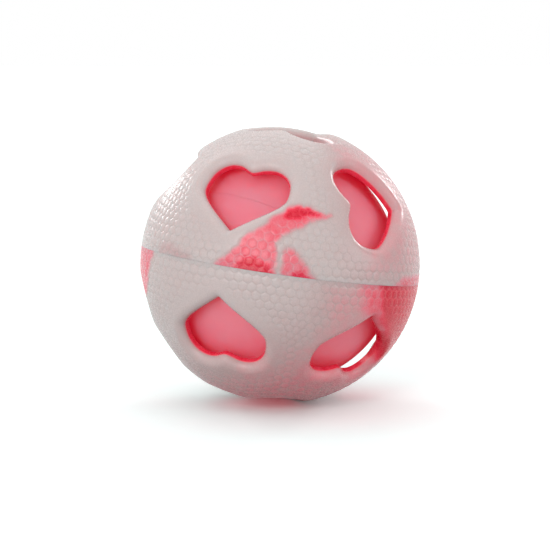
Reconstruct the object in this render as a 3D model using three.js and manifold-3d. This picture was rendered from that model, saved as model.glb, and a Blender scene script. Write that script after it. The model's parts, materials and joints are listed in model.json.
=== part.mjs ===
// Squeaky dog ball: a heart-pierced rubber shell with a loose squeaking ball inside it.
// Millimetres, +Z up. The ball lies as it does on a table, with the table at Z = 0.

import * as THREE from 'three';
import { mergeVertices } from 'three/addons/utils/BufferGeometryUtils.js';
import Module from 'manifold-3d';

// Outer shell, two mouldings bonded in a lapped seam
const shellDiameter = 85;
const shellWall = 4;
const shellLapHeight = 2.6;
const bondGap = 0.3;

// Heart openings, measured along the outside of the shell from the heart's centre
const heartHalfWidth = 14.4;
const heartWidestHeight = 2.6;
const heartNotchHeight = 8.8;
const heartTipDepth = 12.2;
const heartNotchRise = 5;
const heartNotchSpread = 5.1;
const heartLobeFullness = 11.1;
const heartSideFullness = 4;
const heartTipSpread = 6.35;
const heartTipRise = 4.85;
const heartLipRadius = 2.5;

// Where the hearts lie on each moulding, in degrees; each heart of the ring has its own turn
const ringTurns = [0, 90, 0, -90, 0];
const upperRingLatitude = 30.8;
const lowerRingLatitude = 29.4;
const sidewaysRise = 2.7;
const firstHeartLongitude = -25.4;
const polarTurn = 153;
const lowerHalfTurn = 128.4;

// How the shell lies on the table, in degrees
const leanRight = 8;
const leanBack = 5.6;

// Inner ball, loose in the shell
const rattleGap = 2.8;
const innerBallDrop = 0.6;
const innerBallWall = 2.4;
const innerBallLapHeight = 2;
const innerBallTilt = 45;
const innerBallHeading = 50;

// Squeaker, pushed into a port at the inner ball's upper pole
const fitGap = 0.3;
const housingRadius = 6.5;
const housingLength = 16;
const housingWall = 1.2;
const flangeRadius = 9;
const flangeThickness = 2;
const collarWall = 2.2;
const collarLength = 9;
const reedSeatRadius = 3.4;
const reedSeatLength = 8;
const plugRecess = 0.8;

// Reed and the two halves of the plug that hold it
const troughLength = 12.5;
const troughEndWall = 1;
const channelWidth = 2.6;
const channelDepth = 1.7;
const wedgeLength = 3.2;
const reedThickness = 0.3;
const reedWidth = 4.4;
const reedOverhang = 0.5;

// Facets, and how far cutters pass the surfaces they cut
const shellQuarterSteps = 11;
const innerBallQuarterSteps = 9;
const squeakerSteps = 32;
const heartCurveSteps = 7;
const heartLipSteps = 3;
const cutterReach = 4;
const weldDistance = 1e-4;

// Sizes that follow from those above
const shellRadius = shellDiameter / 2;
const shellInside = shellRadius - shellWall;
const innerBallRadius = shellInside - rattleGap;
const plugRadius = reedSeatRadius - fitGap;
const plugFace = reedThickness / 2 + fitGap;
const plugTop = innerBallRadius - plugRecess;

const wasm = await Module();
wasm.setup();

const rubber = new THREE.MeshStandardMaterial({ color: 0xdccfcd, roughness: 0.62, metalness: 0 });
const vinyl = new THREE.MeshStandardMaterial({ color: 0xe56577, roughness: 0.4, metalness: 0 });
const whitePlastic = new THREE.MeshStandardMaterial({ color: 0xf1efe9, roughness: 0.45, metalness: 0 });
const reedFilm = new THREE.MeshStandardMaterial({ color: 0xd9dcc8, roughness: 0.3, metalness: 0 });

// A closed geometry as a solid that can be joined and cut
function solidOf(geometry) {
  const bare = geometry.clone();
  bare.deleteAttribute('normal');
  bare.deleteAttribute('uv');
  const merged = mergeVertices(bare, weldDistance);
  const vertProperties = new Float32Array(merged.attributes.position.array);
  const triVerts = new Uint32Array(merged.index.array);
  return new wasm.Manifold(new wasm.Mesh({ numProp: 3, vertProperties, triVerts }));
}

// A solid as a named mesh
function meshOf(name, solid, material) {
  const data = solid.getMesh();
  const geometry = new THREE.BufferGeometry();
  geometry.setAttribute('position', new THREE.BufferAttribute(new Float32Array(data.vertProperties), 3));
  geometry.setIndex(new THREE.BufferAttribute(new Uint32Array(data.triVerts), 1));
  geometry.computeVertexNormals();
  const mesh = new THREE.Mesh(geometry, material);
  mesh.name = name;
  return mesh;
}

// A profile of [radius, height] points turned about the Z axis
function turned(profile, steps) {
  const points = profile.map(([radius, height]) => new THREE.Vector2(radius, height));
  return solidOf(new THREE.LatheGeometry(points, steps).rotateX(Math.PI / 2));
}

// An arc about the ball's centre, from one height to another, as profile points
function arc(radius, fromHeight, toHeight, steps) {
  const start = Math.asin(fromHeight / radius);
  const sweep = Math.asin(toHeight / radius) - start;
  return Array.from({ length: steps + 1 }, (_, step) => {
    const latitude = start + sweep * step / steps;
    return [radius * Math.cos(latitude), radius * Math.sin(latitude)];
  });
}

// Half of a hollow ball, dome up. The rebated half has a ledge inside its rim,
// and the tongued half has the tongue that goes up behind that rim.
function halfBall(radius, wall, lapHeight, tongued, quarterSteps) {
  const inside = radius - wall;
  const lapRadius = radius - wall / 2 + (tongued ? -bondGap / 2 : bondGap / 2);
  const lapEnd = tongued ? -lapHeight : lapHeight + bondGap;
  return turned([
    ...arc(inside, inside, lapEnd, quarterSteps),
    [lapRadius, lapEnd],
    [lapRadius, bondGap / 2],
    ...arc(radius, bondGap / 2, radius, quarterSteps),
  ], quarterSteps * 4);
}

// The heart outline at the throat of the opening, where it is narrowest
function heartShape() {
  const shape = new THREE.Shape();
  shape.moveTo(0, heartNotchHeight);
  for (const side of [1, -1]) {
    const lobe = [
      [heartNotchSpread * side, heartNotchHeight + heartNotchRise],
      [heartHalfWidth * side, heartWidestHeight + heartLobeFullness],
      [heartHalfWidth * side, heartWidestHeight],
    ];
    const flank = [
      [heartHalfWidth * side, heartWidestHeight - heartSideFullness],
      [heartTipSpread * side, heartTipRise - heartTipDepth],
      [0, -heartTipDepth],
    ];
    if (side === 1) {
      shape.bezierCurveTo(...lobe.flat());
      shape.bezierCurveTo(...flank.flat());
    } else {
      shape.bezierCurveTo(...flank[1], ...flank[0], ...lobe[2]);
      shape.bezierCurveTo(...lobe[1], ...lobe[0], 0, heartNotchHeight);
    }
  }
  return shape;
}

// The heart as a cutter wrapped round the ball: its walls run towards the ball's centre,
// and its outer end flares by a quarter round, which leaves a rounded lip on the outside
function heartCutter() {
  const depth = shellWall - heartLipRadius + cutterReach;
  const geometry = new THREE.ExtrudeGeometry(heartShape(), {
    depth,
    curveSegments: heartCurveSteps,
    bevelThickness: heartLipRadius,
    bevelSize: -heartLipRadius,
    bevelOffset: heartLipRadius,
    bevelSegments: heartLipSteps,
  });
  const place = geometry.attributes.position;
  const outerEnd = depth + heartLipRadius;
  for (let index = 0; index < place.count; index += 1) {
    const across = place.getX(index);
    const along = place.getY(index);
    const height = place.getZ(index);
    const reach = Math.hypot(across, along);
    const angle = reach / shellRadius;
    let radius = shellRadius - outerEnd + height;
    if (height > outerEnd - weldDistance) {
      radius += cutterReach;
    }
    const spread = reach > 0 ? radius * Math.sin(angle) / reach : 0;
    place.setXYZ(index, across * spread, along * spread, radius * Math.cos(angle));
  }
  return geometry;
}

// Turns a heart in its own plane, then carries it from the pole to its latitude and longitude
function heartPlace(latitude, longitude, turn) {
  const place = new THREE.Matrix4().makeRotationZ(THREE.MathUtils.degToRad(longitude));
  place.multiply(new THREE.Matrix4().makeRotationX(THREE.MathUtils.degToRad(90 - latitude)));
  return place.multiply(new THREE.Matrix4().makeRotationZ(THREE.MathUtils.degToRad(turn)));
}

// One moulding of the shell: a ring of hearts, two of them on their sides, and one on the pole
function shellHalf(tongued, ringLatitude) {
  const cutter = heartCutter();
  let half = halfBall(shellRadius, shellWall, shellLapHeight, tongued, shellQuarterSteps);
  const places = [heartPlace(90, 0, polarTurn)];
  ringTurns.forEach((turn, heart) => {
    const longitude = firstHeartLongitude + heart * 360 / ringTurns.length;
    const latitude = ringLatitude + (turn === 0 ? 0 : sidewaysRise);
    places.push(heartPlace(latitude, longitude, turn));
  });
  for (const place of places) {
    half = half.subtract(solidOf(cutter.clone().applyMatrix4(place)));
  }
  return half;
}

// A plain half of the inner ball
function innerBallHalf(tongued) {
  return halfBall(innerBallRadius, innerBallWall, innerBallLapHeight, tongued, innerBallQuarterSteps);
}

// The inner ball's half with the port: a collar inside the wall, bored for the squeaker
function portedHalf() {
  const collarRadius = housingRadius + fitGap + collarWall;
  const wallMiddle = innerBallRadius - innerBallWall / 2;
  const collarTop = Math.sqrt(wallMiddle ** 2 - collarRadius ** 2);
  const collarEnd = innerBallRadius - collarLength;
  const flangeSeat = innerBallRadius - flangeThickness - fitGap;
  const collar = turned([
    [0, collarEnd],
    [collarRadius, collarEnd],
    [collarRadius, collarTop],
    [0, collarTop],
  ], squeakerSteps);
  const port = turned([
    [0, 0],
    [housingRadius + fitGap, 0],
    [housingRadius + fitGap, flangeSeat],
    [flangeRadius + fitGap, flangeSeat],
    [flangeRadius + fitGap, innerBallRadius + cutterReach],
    [0, innerBallRadius + cutterReach],
  ], squeakerSteps);
  return innerBallHalf(false).add(collar).subtract(port);
}

// The squeaker's flanged housing: a seat for the reed plug outside, an air chamber inside
function squeakerHousing() {
  const face = innerBallRadius - fitGap;
  const flangeUnder = innerBallRadius - flangeThickness;
  const seatEnd = innerBallRadius - reedSeatLength;
  const end = innerBallRadius - housingLength;
  const chamberRadius = housingRadius - housingWall;
  const outside = face ** 2;
  const crown = Math.sqrt(outside - reedSeatRadius ** 2);
  const rim = Math.sqrt(outside - flangeRadius ** 2);
  return turned([
    [chamberRadius, end],
    [housingRadius, end],
    [housingRadius, flangeUnder],
    [flangeRadius, flangeUnder],
    [flangeRadius, Math.max(rim, flangeUnder + fitGap)],
    [reedSeatRadius, crown],
    [reedSeatRadius, seatEnd],
    [chamberRadius, seatEnd],
    [chamberRadius, end],
  ], squeakerSteps);
}

// A half-round stick along the squeaker's axis, flat towards the reed, on the given side of it
function halfRound(length, side) {
  const outline = new THREE.Shape();
  const cut = Math.asin(plugFace / plugRadius);
  outline.absarc(0, 0, plugRadius, cut, Math.PI - cut, false);
  const stick = new THREE.ExtrudeGeometry(outline, {
    depth: length,
    curveSegments: squeakerSteps / 2,
    bevelEnabled: false,
  });
  stick.rotateZ(side > 0 ? 0 : Math.PI);
  return solidOf(stick.translate(0, 0, plugTop - length));
}

// The lower half of the plug, with the air channel that the reed closes
function reedTrough() {
  const length = troughLength - troughEndWall + cutterReach;
  const channel = new THREE.BoxGeometry(channelWidth, channelDepth * 2, length);
  const middle = plugTop - troughLength + troughEndWall + length / 2;
  return halfRound(troughLength, -1).subtract(solidOf(channel.translate(0, -plugFace, middle)));
}

// The reed: a thin strip clamped at the outer end, free over the channel
function reedStrip() {
  const length = troughLength - reedOverhang;
  const strip = new THREE.BoxGeometry(reedWidth, reedThickness, length);
  return solidOf(strip.translate(0, 0, plugTop - length / 2));
}

// The shell, lying on the table on the rim of its lower polar heart
const shell = new THREE.Group();
const upperShell = meshOf('upper_shell', shellHalf(false, upperRingLatitude), rubber);
const lowerShell = meshOf('lower_shell', shellHalf(true, lowerRingLatitude), rubber);
lowerShell.rotation.set(Math.PI, 0, THREE.MathUtils.degToRad(lowerHalfTurn), 'ZYX');
shell.add(upperShell, lowerShell);
shell.rotation.set(-THREE.MathUtils.degToRad(leanBack), THREE.MathUtils.degToRad(leanRight), 0, 'YXZ');
const centreHeight = -new THREE.Box3().setFromObject(shell, true).min.z;
shell.position.z = centreHeight;

// The inner ball with its squeaker, rolled so that the port points up and back
const innerBall = new THREE.Group();
const ballLower = meshOf('inner_ball_lower', innerBallHalf(true), vinyl);
ballLower.rotation.x = Math.PI;
innerBall.add(meshOf('inner_ball_upper', portedHalf(), vinyl));
innerBall.add(ballLower);
innerBall.add(meshOf('squeaker_housing', squeakerHousing(), whitePlastic));
innerBall.add(meshOf('reed_trough', reedTrough(), whitePlastic));
innerBall.add(meshOf('reed_wedge', halfRound(wedgeLength, 1), whitePlastic));
innerBall.add(meshOf('reed', reedStrip(), reedFilm));
innerBall.position.z = centreHeight - innerBallDrop;
innerBall.rotation.set(
  0,
  THREE.MathUtils.degToRad(innerBallTilt),
  THREE.MathUtils.degToRad(innerBallHeading),
  'ZYX',
);

const dogBall = new THREE.Group();
dogBall.add(shell, innerBall);

export default dogBall;
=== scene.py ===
"""Dresses the squeaky dog ball: marbled rubber shell, soft inner ball and its squeaker.

Sizes are in millimetres, as in the part's source, and meshes are written in metres.
"""

import json
import logging
import math
from dataclasses import dataclass, field
from enum import Enum

import bpy
import numpy as np
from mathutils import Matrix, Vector


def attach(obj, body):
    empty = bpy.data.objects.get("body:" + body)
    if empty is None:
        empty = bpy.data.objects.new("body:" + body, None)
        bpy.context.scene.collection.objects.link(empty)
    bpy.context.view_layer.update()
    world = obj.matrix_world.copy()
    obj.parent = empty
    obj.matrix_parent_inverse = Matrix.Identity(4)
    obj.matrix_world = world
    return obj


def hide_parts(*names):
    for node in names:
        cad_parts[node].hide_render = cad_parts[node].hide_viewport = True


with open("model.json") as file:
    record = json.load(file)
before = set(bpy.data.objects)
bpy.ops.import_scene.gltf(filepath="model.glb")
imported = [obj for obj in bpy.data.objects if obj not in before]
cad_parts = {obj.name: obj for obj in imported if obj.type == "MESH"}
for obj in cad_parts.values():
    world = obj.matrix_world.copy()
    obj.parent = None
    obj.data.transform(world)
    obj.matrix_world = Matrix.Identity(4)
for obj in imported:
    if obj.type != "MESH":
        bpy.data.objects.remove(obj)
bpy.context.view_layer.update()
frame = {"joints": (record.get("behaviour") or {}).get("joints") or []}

LOG = logging.getLogger("dog_ball")
MM = 0.001

# How far the inner ball lies below the shell's centre
INNER_DROP = 0.6

# A profile's corner is radius, height and fillet, and a wave is height, rate and start
Corner = tuple[float, float, float]
Wave = tuple[float, float, float]

# A place is x, y and z in metres, and a colour is linear red, green, blue and alpha
Place = tuple[float, float, float]
Colour = tuple[float, float, float, float]

# What a node's input takes: another node's output, a number, a triple or a colour
Operand = bpy.types.NodeSocket | float | tuple[float, ...]


class HalfSide(Enum):
    """Which half of a two-part moulding a piece is."""

    UPPER = "upper"
    LOWER = "lower"


class Slot(Enum):
    """The record's material slots, one for each finish."""

    RUBBER = "shell_rubber"
    VINYL = "inner_vinyl"
    PLASTIC = "squeaker_plastic"
    FILM = "reed_film"


class Pattern(Enum):
    """The patterns of the grain group that can mix two colours."""

    CLOUD = "Cloud"
    GRAIN = "Grain"


def turn_x(degrees: float) -> np.ndarray:
    """Rotation matrix about X."""
    c, s = math.cos(math.radians(degrees)), math.sin(math.radians(degrees))
    return np.array([[1.0, 0.0, 0.0], [0.0, c, -s], [0.0, s, c]])


def turn_y(degrees: float) -> np.ndarray:
    """Rotation matrix about Y."""
    c, s = math.cos(math.radians(degrees)), math.sin(math.radians(degrees))
    return np.array([[c, 0.0, s], [0.0, 1.0, 0.0], [-s, 0.0, c]])


def turn_z(degrees: float) -> np.ndarray:
    """Rotation matrix about Z."""
    c, s = math.cos(math.radians(degrees)), math.sin(math.radians(degrees))
    return np.array([[c, -s, 0.0], [s, c, 0.0], [0.0, 0.0, 1.0]])


def unit(vectors: np.ndarray) -> np.ndarray:
    """Vectors scaled to length one along their last axis."""
    return vectors / np.linalg.norm(vectors, axis=-1, keepdims=True)


def smooth_step(low: float, high: float, value: np.ndarray) -> np.ndarray:
    """Ramp from 0 at low to 1 at high, level at both ends: s * s * (3 - 2 s)."""
    share = np.clip((value - low) / (high - low), 0.0, 1.0)
    return share * share * (3.0 - 2.0 * share)


def great_arc(start: np.ndarray, end: np.ndarray, steps: int) -> np.ndarray:
    """Directions along the great circle from start towards end, the end itself left out.

    Args:
        start: unit vector where the arc begins.
        end: unit vector where the arc would end.
        steps: number of directions.

    Returns:
        Array (steps, 3): (sin((1 - s) a) start + sin(s a) end) / sin a.
    """
    angle = math.acos(float(np.clip(start @ end, -1.0, 1.0)))
    share = np.arange(steps)[:, None] / steps
    return (np.sin((1 - share) * angle) * start + np.sin(share * angle) * end) / math.sin(angle)


def grid_faces(rows: int, columns: int, first: int = 0) -> np.ndarray:
    """Quads of a grid whose columns run round a closed loop.

    Args:
        rows: number of rows of vertices.
        columns: number of vertices in each row.
        first: index of the grid's first vertex.

    Returns:
        Array of quads (faces, 4), one for each cell of the grid.
    """
    row = np.arange(rows - 1)[:, None] * columns
    column = np.arange(columns)[None, :]
    after = (column + 1) % columns
    quads = np.stack([row + column, row + after, row + columns + after, row + columns + column], axis=-1)
    return quads.reshape(-1, 4) + first


@dataclass
class Surface:
    """Vertices in millimetres with quads, and values held at the vertices and at the quads' corners."""

    vertices: np.ndarray
    quads: np.ndarray
    values: dict[str, np.ndarray] = field(default_factory=dict)
    corner_vectors: dict[str, np.ndarray] = field(default_factory=dict)

    def welded(self, grain: float = 1e-4) -> "Surface":
        """Makes vertices that coincide one.

        Args:
            grain: how near they have to lie.

        Returns:
            The same surface with fewer vertices; values at corners are left out.
        """
        keys = np.round(self.vertices / grain).astype(np.int64)
        _, kept, inverse = np.unique(keys, axis=0, return_index=True, return_inverse=True)
        values = {name: value[kept] for name, value in self.values.items()}
        return Surface(self.vertices[kept], inverse.reshape(-1)[self.quads], values)

    def moved(self, turn: np.ndarray, centre: np.ndarray) -> "Surface":
        """The same surface turned about its origin and carried to a centre."""
        return Surface(self.vertices @ turn.T + centre, self.quads, self.values, self.corner_vectors)

    def to_object(self, name: str, sharp_degrees: float = 40.0) -> bpy.types.Object:
        """Makes the surface a smooth-shaded mesh object, in metres, at the origin.

        Quads that a pole has drawn together are written as triangles.

        Args:
            name: the object's name.
            sharp_degrees: edges that turn by more than this stay sharp.

        Returns:
            The new object, linked to the scene.
        """
        quads = self.quads
        same = quads == np.roll(quads, -1, axis=1)
        whole = quads[~same.any(axis=1)]
        pinched, where = quads[same.any(axis=1)], same[same.any(axis=1)].argmax(axis=1)
        keep = (where[:, None] + np.array([1, 2, 3])[None, :]) % 4
        triangles = np.take_along_axis(pinched, keep, axis=1)
        distinct = (triangles != np.roll(triangles, -1, axis=1)).all(axis=1)
        triangles = triangles[distinct]
        corners = np.concatenate([whole.ravel(), triangles.ravel()]).astype(np.int32)
        counts = np.concatenate([np.full(len(whole), 4), np.full(len(triangles), 3)])
        starts = np.concatenate([[0], np.cumsum(counts)[:-1]]).astype(np.int32)
        mesh = bpy.data.meshes.new(name)
        mesh.vertices.add(len(self.vertices))
        mesh.vertices.foreach_set("co", (self.vertices * MM).astype(np.float32).ravel())
        mesh.loops.add(len(corners))
        mesh.loops.foreach_set("vertex_index", corners)
        mesh.polygons.add(len(counts))
        mesh.polygons.foreach_set("loop_start", starts)
        mesh.polygons.foreach_set("use_smooth", np.ones(len(counts), bool))
        mesh.update(calc_edges=True)
        mesh.validate()
        mesh.set_sharp_from_angle(angle=math.radians(sharp_degrees))
        for value_name, value in self.values.items():
            layer = mesh.attributes.new(value_name, "FLOAT", "POINT")
            layer.data.foreach_set("value", value.astype(np.float32))
        for vector_name, vector in self.corner_vectors.items():
            layer = mesh.attributes.new(vector_name, "FLOAT_VECTOR", "CORNER")
            layer.data.foreach_set("vector", vector.astype(np.float32).ravel())
        piece = bpy.data.objects.new(name, mesh)
        bpy.context.scene.collection.objects.link(piece)
        return piece


def rounded(corners: list[Corner], steps: int = 4) -> np.ndarray:
    """A closed profile whose corners are rounded.

    Each corner is a parabola through the points where its fillet leaves the two edges:
    (1 - s)^2 a + 2 s (1 - s) corner + s^2 b.

    Args:
        corners: [radius, height, fillet] of each corner, in order; fillet 0 keeps it sharp.
        steps: points on each fillet, less one.

    Returns:
        Array (points, 2) of radius and height.
    """
    points = np.array([corner[:2] for corner in corners])
    before, after = np.roll(points, 1, axis=0), np.roll(points, -1, axis=0)
    share = np.linspace(0.0, 1.0, steps + 1)[:, None]
    out = []
    for place, (here, ahead, behind) in enumerate(zip(points, after, before)):
        fillet = corners[place][2]
        if fillet == 0:
            out.append(here[None, :])
            continue
        leave = here + unit(behind - here) * fillet
        join = here + unit(ahead - here) * fillet
        out.append((1 - share) ** 2 * leave + 2 * share * (1 - share) * here + share**2 * join)
    return np.concatenate(out)


def ball_arc(radius: float, from_height: float, to_height: float, steps: int) -> list[Corner]:
    """Profile corners, none rounded, along an arc about the ball's centre.

    Args:
        radius: the arc's radius.
        from_height: height of the first point above the centre.
        to_height: height of the last point above the centre.
        steps: points on the arc, less one.

    Returns:
        [radius * cos a, radius * sin a, 0] for even steps of the latitude a.
    """
    latitude = np.linspace(math.asin(from_height / radius), math.asin(to_height / radius), steps + 1)
    return [(max(radius * math.cos(a), 0.0), radius * math.sin(a), 0.0) for a in latitude]


def filleted(points: list[tuple[float, float]], fillets: tuple[float, ...]) -> list[Corner]:
    """Profile corners from points and the fillet of each."""
    return [(*point, fillet) for point, fillet in zip(points, fillets)]


def lathe(profile: np.ndarray, steps: int, closed: bool) -> Surface:
    """Turns a profile about Z: (r cos a, r sin a, h) over the profile and the angle a.

    Args:
        profile: array (points, 2) of radius and height, with the material on its left.
        steps: facets round the axis.
        closed: whether the profile's last point joins its first.

    Returns:
        The turned surface, poles welded.
    """
    if closed:
        profile = np.vstack([profile, profile[:1]])
    angle = np.arange(steps) * (2 * math.pi / steps)
    radius, height = np.maximum(profile[:, :1], 0.0), profile[:, 1:]
    heights = np.broadcast_to(height, (len(profile), steps))
    vertices = np.stack([radius * np.cos(angle), radius * np.sin(angle), heights], axis=-1)
    return Surface(vertices.reshape(-1, 3), grid_faces(len(profile), steps)).welded()


def lap_step(radius: float, wall: float, height: float, gap: float, tongued: bool) -> tuple[float, float]:
    """Step of a lapped seam: the wall's middle, half the gap further in on a tongue and out on a ledge.

    Args:
        radius: the ball's radius outside.
        wall: thickness of the wall.
        height: height of the tongue.
        gap: room for the bond.
        tongued: whether the half has the tongue or the ledge.

    Returns:
        Radius of the step, and height of the lap's end above the seam plane.
    """
    step = radius - wall / 2 + (-0.5 if tongued else 0.5) * gap
    return step, -height if tongued else height + gap


@dataclass(frozen=True)
class HeartOpening:
    """Outline of a heart opening, in millimetres along the outside of the shell."""

    half_width: float = 14.4
    widest_height: float = 2.6
    notch_height: float = 8.8
    tip_depth: float = 11.8
    notch_rise: float = 5.0
    notch_spread: float = 5.1
    lobe_fullness: float = 11.1
    side_fullness: float = 4.0
    tip_spread: float = 6.35
    tip_rise: float = 4.85
    lip_radius: float = 2.8
    inner_edge: float = 0.15
    corner_softness: float = 0.35
    notch_softness: float = 1.5
    notch_reach: float = 4.0
    curve_samples: int = 200
    samples: int = 900
    least_roll: float = 0.1

    def outline(self) -> np.ndarray:
        """The throat of the opening as a closed curve.

        Two cubic curves a side, from the notch over a lobe to the widest point and on to the tip,
        evened out along their length and softened by a Gaussian: a wide one near the notch, where the
        moulding is full, and a narrow one elsewhere.

        Returns:
            Array (samples, 2) of points, anticlockwise.
        """
        share = np.linspace(0.0, 1.0, self.curve_samples)[:, None]
        rest = 1 - share
        blend = np.hstack([rest**3, 3 * rest**2 * share, 3 * rest * share**2, share**3])
        lobe = blend @ np.array([
            [0.0, self.notch_height],
            [self.notch_spread, self.notch_height + self.notch_rise],
            [self.half_width, self.widest_height + self.lobe_fullness],
            [self.half_width, self.widest_height],
        ])
        flank = blend @ np.array([
            [self.half_width, self.widest_height],
            [self.half_width, self.widest_height - self.side_fullness],
            [self.tip_spread, self.tip_rise - self.tip_depth],
            [0.0, -self.tip_depth],
        ])
        right = np.vstack([lobe[:-1], flank])
        loop = np.vstack([right[::-1], right[1:] * [-1, 1]])
        length = np.concatenate([[0.0], np.cumsum(np.linalg.norm(np.diff(loop, axis=0), axis=1))])
        even = np.linspace(0.0, length[-1], self.samples, endpoint=False)
        curve = np.stack([np.interp(even, length, loop[:, axis]) for axis in (0, 1)], axis=1)
        wave = np.fft.fftfreq(self.samples, d=length[-1] / self.samples) * 2 * math.pi
        spectrum = np.fft.fft(curve, axis=0)
        fine, broad = (
            np.fft.ifft(spectrum * np.exp(-0.5 * (wave * softness) ** 2)[:, None], axis=0).real
            for softness in (self.corner_softness, self.notch_softness)
        )
        from_notch = np.linalg.norm(curve - [0.0, self.notch_height], axis=1)
        near_notch = np.exp(-((from_notch / self.notch_reach) ** 4))[:, None]
        return fine + near_notch * (broad - fine)

    def reach(self, angle: np.ndarray, grow: np.ndarray) -> np.ndarray:
        """How far the outline lies from the heart's centre once it has grown all round.

        A disc of radius grow rolls round the throat. Along the ray e the disc about the outline point p
        reaches p.e + sqrt(grow^2 - (p.p - (p.e)^2)), and the disc that reaches farthest counts.

        Args:
            angle: directions from the centre, in radians from the heart's right.
            grow: distances to grow by, in millimetres.

        Returns:
            Array (distances, directions) of reaches, in millimetres.
        """
        curve = self.outline()
        along = curve @ np.stack([np.cos(angle), np.sin(angle)])
        aside = np.sum(curve**2, axis=1)[:, None] - along**2
        rolled = []
        for radius in np.maximum(grow, self.least_roll):
            room = np.where(along > 0, radius**2 - aside, -1.0)
            rolled.append(np.where(room >= 0, along + np.sqrt(np.maximum(room, 0.0)), 0.0).max(axis=0))
        return np.array(rolled)


@dataclass(frozen=True)
class HexagonRelief:
    """Raised hexagon cells spread evenly over a ball, in millimetres."""

    frequency: int = 18
    depth: float = 0.12
    bevel: float = 0.8
    crown: float = 0.3
    margin_start: float = -0.6
    margin_end: float = 6.0
    below_rim: float = 0.15
    chunk: int = 6000

    def corners(self) -> np.ndarray:
        """Faces of a twenty-sided solid that stands on one of its points.

        Returns:
            Array (20, 3, 3) of the faces' corners, each a unit vector.
        """
        ring = np.arange(5) * (2 * math.pi / 5)
        height, reach = 1 / math.sqrt(5), 2 / math.sqrt(5)
        upper = np.stack([reach * np.cos(ring), reach * np.sin(ring), np.full(5, height)], axis=1)
        lower = upper @ turn_z(36).T * [1, 1, -1]
        corners = np.vstack([[[0, 0, 1]], upper, lower, [[0, 0, -1]]])
        k = np.arange(5)
        after = (k + 1) % 5
        faces = np.vstack([
            np.stack([k * 0, 1 + k, 1 + after], axis=1),
            np.stack([1 + k, 6 + k, 1 + after], axis=1),
            np.stack([6 + k, 6 + after, 1 + after], axis=1),
            np.stack([6 + k, k * 0 + 11, 6 + after], axis=1),
        ])
        return corners[faces]

    def centres(self) -> np.ndarray:
        """Directions of the cells: every face of the solid cut into a lattice of frequency steps a side.

        Returns:
            Array (cells, 3) of unit vectors.
        """
        first, second = np.meshgrid(np.arange(self.frequency + 1), np.arange(self.frequency + 1))
        inside = first + second <= self.frequency
        share = np.stack([first[inside], second[inside]], axis=1) / self.frequency
        weights = np.hstack([1 - share.sum(axis=1, keepdims=True), share])
        points = unit(np.einsum("wk,fkx->fwx", weights, self.corners()).reshape(-1, 3))
        _, kept = np.unique(np.round(points, 6), axis=0, return_index=True)
        return points[kept]

    def lattice(self, directions: np.ndarray) -> np.ndarray:
        """Where the corners of mesh faces lie in the lattice of cells.

        A direction u is a sum of the three corners of the solid's face under the mesh face's middle;
        its three weights, scaled to add up to frequency, are whole numbers at the cells' centres.

        Args:
            directions: unit vectors (faces, corners, 3) in the moulding's frame.

        Returns:
            Array (faces, corners, 3) of weights.
        """
        corners = self.corners()
        under = (unit(directions.mean(axis=1)) @ unit(corners.mean(axis=1)).T).argmax(axis=1)
        weights = np.einsum("fij,fcj->fci", np.linalg.inv(corners.transpose(0, 2, 1))[under], directions)
        return self.frequency * weights / weights.sum(axis=-1, keepdims=True)

    def height(self, directions: np.ndarray, radius: float) -> np.ndarray:
        """Height of the relief, 0 in a groove and 1 on top of a cell.

        Only the cells of this half, and a few below its rim, are searched, a chunk of directions at a time.
        With a the nearest and b the next nearest cell, the groove between them lies at
        radius * (u.a - u.b) / |a - b| from the direction u; the bevel climbs over that distance.

        Args:
            directions: unit vectors (n, 3) in the moulding's frame.
            radius: the ball's radius.

        Returns:
            Array (n,) of heights.
        """
        cells = self.centres().astype(np.float32)
        cells = cells[cells[:, 2] > -self.below_rim]
        out = np.empty(len(directions), np.float32)
        for start in range(0, len(directions), self.chunk):
            here = directions[start : start + self.chunk].astype(np.float32)
            near = here @ cells.T
            row = np.arange(len(here))
            best = near.argmax(axis=1)
            best_dot = near[row, best].copy()
            near[row, best] = -np.inf
            second = near.argmax(axis=1)
            apart = np.linalg.norm(cells[best] - cells[second], axis=1)
            edge = radius * (best_dot - near[row, second]) / apart
            top = smooth_step(0.0, self.bevel, edge)
            dome = np.clip(edge / (0.5 * apart * radius), 0.0, 1.0)
            out[start : start + self.chunk] = (1 - self.crown) * top + self.crown * np.sqrt(dome)
        return out


@dataclass(frozen=True)
class PigmentAndPaintedShadePatch:
    """A patch of red in the rubber, outlined in degrees of longitude and latitude; most are pigment, the
    haze over the underside is painted reddish shade, and the haze over the upper right is partly pigment
    and partly painted reddish shade.
    """

    outline: tuple[tuple[float, float], ...]
    strength: float
    soft: float

    def value(self, longitude: np.ndarray, latitude: np.ndarray) -> np.ndarray:
        """Strength of the patch's red: full inside the outline, fading over soft degrees at its edge.

        Args:
            longitude: degrees, one for each point.
            latitude: degrees, one for each point.

        Returns:
            Array of strengths from 0 to strength.
        """
        squeeze = math.cos(math.radians(np.mean([corner[1] for corner in self.outline])))
        middle = np.mean([corner[0] for corner in self.outline])
        across = (longitude - middle + 180.0) % 360.0 - 180.0
        point = np.stack([across * squeeze, latitude], axis=1)
        corner = (np.array(self.outline) - [middle, 0.0]) * [squeeze, 1.0]
        nearest = np.full(len(point), np.inf)
        crossings = np.zeros(len(point), bool)
        for start, end in zip(corner, np.roll(corner, -1, axis=0)):
            edge = end - start
            along = np.clip(((point - start) @ edge) / (edge @ edge), 0.0, 1.0)
            nearest = np.minimum(nearest, np.linalg.norm(point - start - along[:, None] * edge, axis=1))
            spans = (start[1] > point[:, 1]) != (end[1] > point[:, 1])
            rise = edge[1] if edge[1] != 0 else 1.0
            crossings ^= spans & (point[:, 0] < start[0] + edge[0] * (point[:, 1] - start[1]) / rise)
        signed = np.where(crossings, nearest, -nearest)
        return self.strength * smooth_step(-self.soft, self.soft, signed)


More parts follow.
